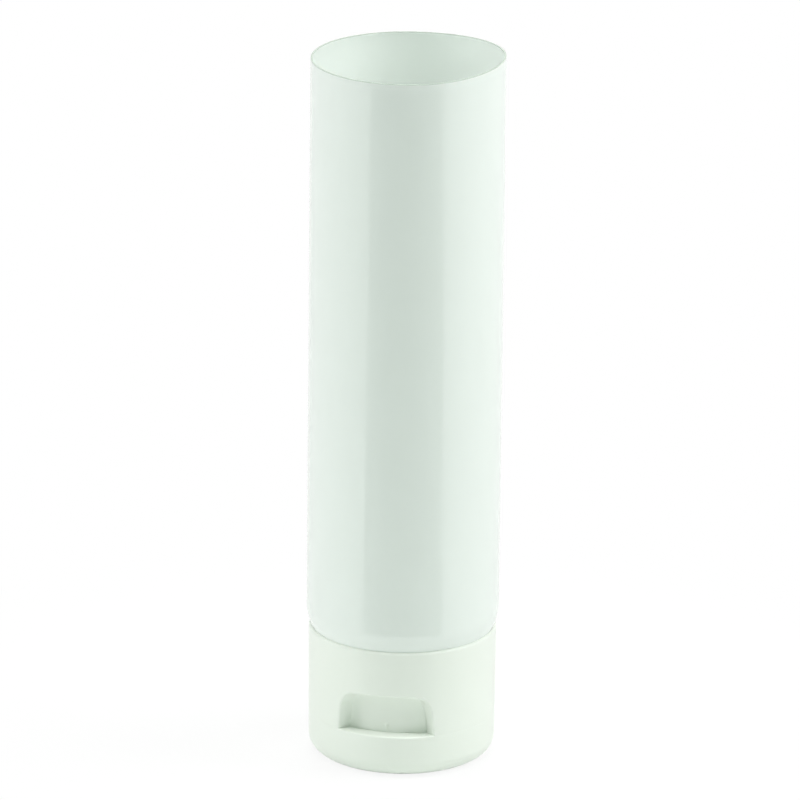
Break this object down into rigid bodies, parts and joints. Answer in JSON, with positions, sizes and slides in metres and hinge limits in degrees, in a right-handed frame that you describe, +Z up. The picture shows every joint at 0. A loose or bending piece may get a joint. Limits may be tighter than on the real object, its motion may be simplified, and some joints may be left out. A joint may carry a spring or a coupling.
{
  "type": "squeeze tube",
  "caption": "Round squeeze tube with an open end for filling, standing on a flip-top cap whose lid swings on a film hinge and has a thumb recess.",
  "frame": {"origin": "middle of the lid's flat standing face", "axes": "+Z up along the tube's axis to the open end, -Y towards the thumb recess, +Y towards the hinge"},
  "size_m": [0.05, 0.05, 0.1865],
  "materials": {
    "sleeve": "glossy white polyethylene",
    "cap": "satin white polypropylene"
  },
  "bodies": {
    "tube_body": {"tube": "sleeve", "cap_base": "cap", "living_hinge": "cap"},
    "lid": {"cap_lid": "cap"}
  },
  "joints": [
    {"name": "lid_hinge", "type": "hinge", "parent": "tube_body", "child": "lid", "pos_m": [0, 0.02376, 0.0114], "axis": [1, 0, 0], "range_deg": [0, 150], "deforming": ["living_hinge"]}
  ]
}
